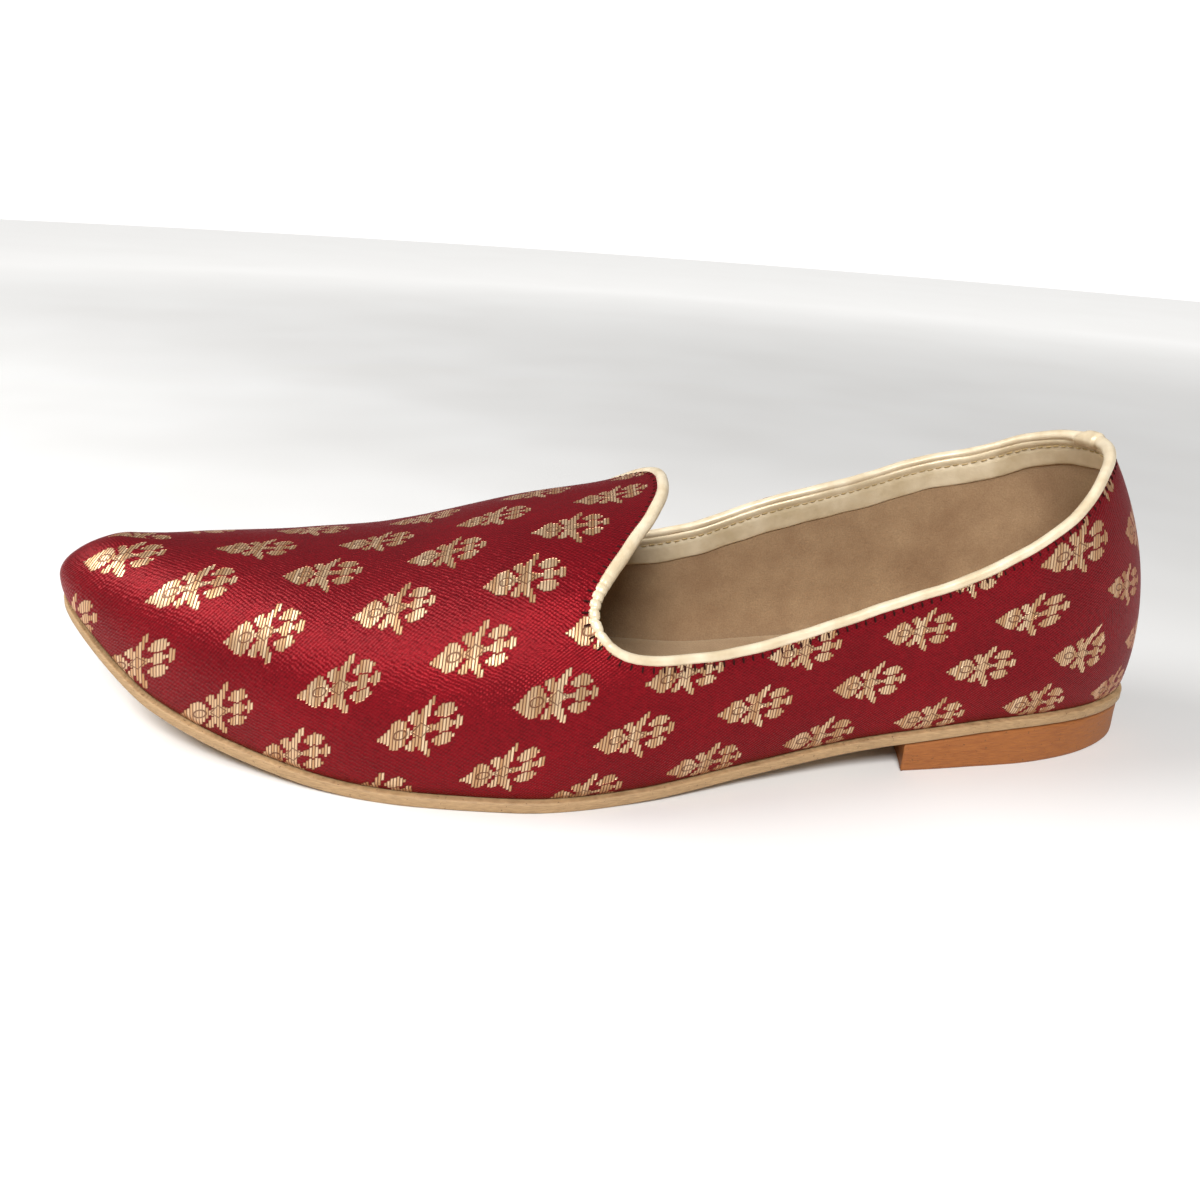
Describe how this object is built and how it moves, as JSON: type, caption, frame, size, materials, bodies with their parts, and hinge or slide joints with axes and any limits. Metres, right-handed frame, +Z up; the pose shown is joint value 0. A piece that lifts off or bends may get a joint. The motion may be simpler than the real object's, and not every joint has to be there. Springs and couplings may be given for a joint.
{
  "type": "mojari shoe",
  "caption": "Flat slip-on shoe for the left foot with a pointed rising toe, low open sides, a raised tongue, a rolled collar edge and a low heel.",
  "frame": {"origin": "on the floor, under the middle of the shoe's length and width", "axes": "+X to the toe, +Y to the outer side of the left foot, +Z up"},
  "size_m": [0.288, 0.106, 0.0817],
  "materials": {
    "upper": "woven brocade, satin red ground with matt gold motifs",
    "topline_binding": "smooth cream piping, semi-matt",
    "collar_facing": "smooth cream strip, semi-matt",
    "insole": "brushed microsuede, matt",
    "outsole": "tan leather board, matt edge",
    "heel_block": "tan leather board, matt"
  },
  "bodies": {
    "root": {"upper": "upper", "topline_binding": "topline_binding", "collar_facing": "collar_facing", "insole": "insole", "outsole": "outsole", "heel_block": "heel_block"}
  },
  "joints": []
}
